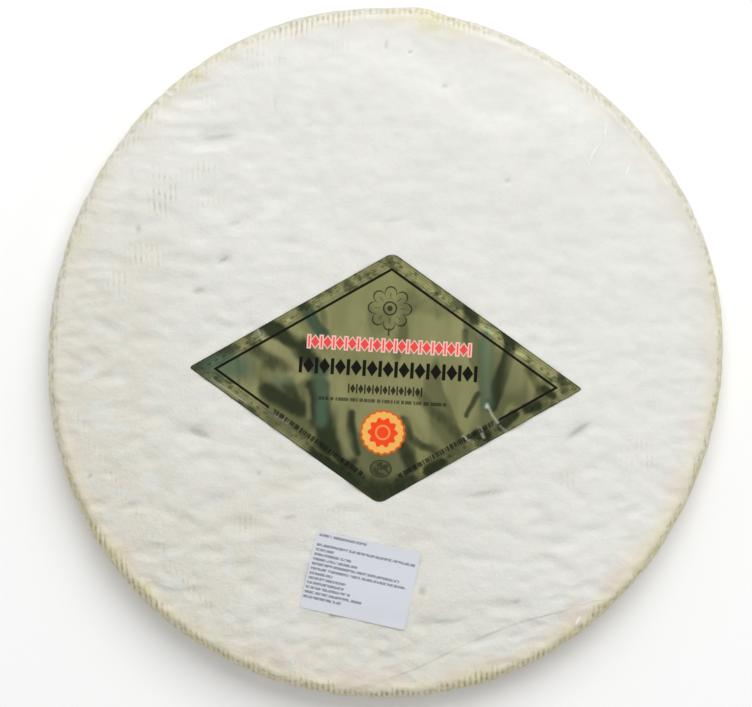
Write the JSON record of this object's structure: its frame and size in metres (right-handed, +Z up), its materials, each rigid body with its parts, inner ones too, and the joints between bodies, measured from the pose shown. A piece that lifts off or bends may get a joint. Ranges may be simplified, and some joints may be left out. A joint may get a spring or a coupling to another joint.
{
  "type": "brie cheese wheel",
  "caption": "Whole uncut wheel of soft white-mould brie in clear film, lying flat, with a foil diamond label and a paper sticker.",
  "frame": {"origin": "on the surface that the wheel lies on, under the middle of its outline", "axes": "+Z up through the wheel's face, +Y towards the blunt upper corner of the diamond label, +X towards its right-hand sharp corner"},
  "size_m": [0.3612, 0.3696, 0.0284],
  "materials": {
    "rind": "downy white mould rind with yellow-beige ridges at its rim, under glossy clear film",
    "foil": "printed olive-gold metal foil, softly creased",
    "paper": "cool white label paper with small grey marks",
    "film": "thin clear cling film, glossy and slightly wrinkled"
  },
  "bodies": {
    "root": {"wrapped_wheel": "rind", "diamond_label": "foil", "paper_sticker": "paper"}
  },
  "joints": []
}
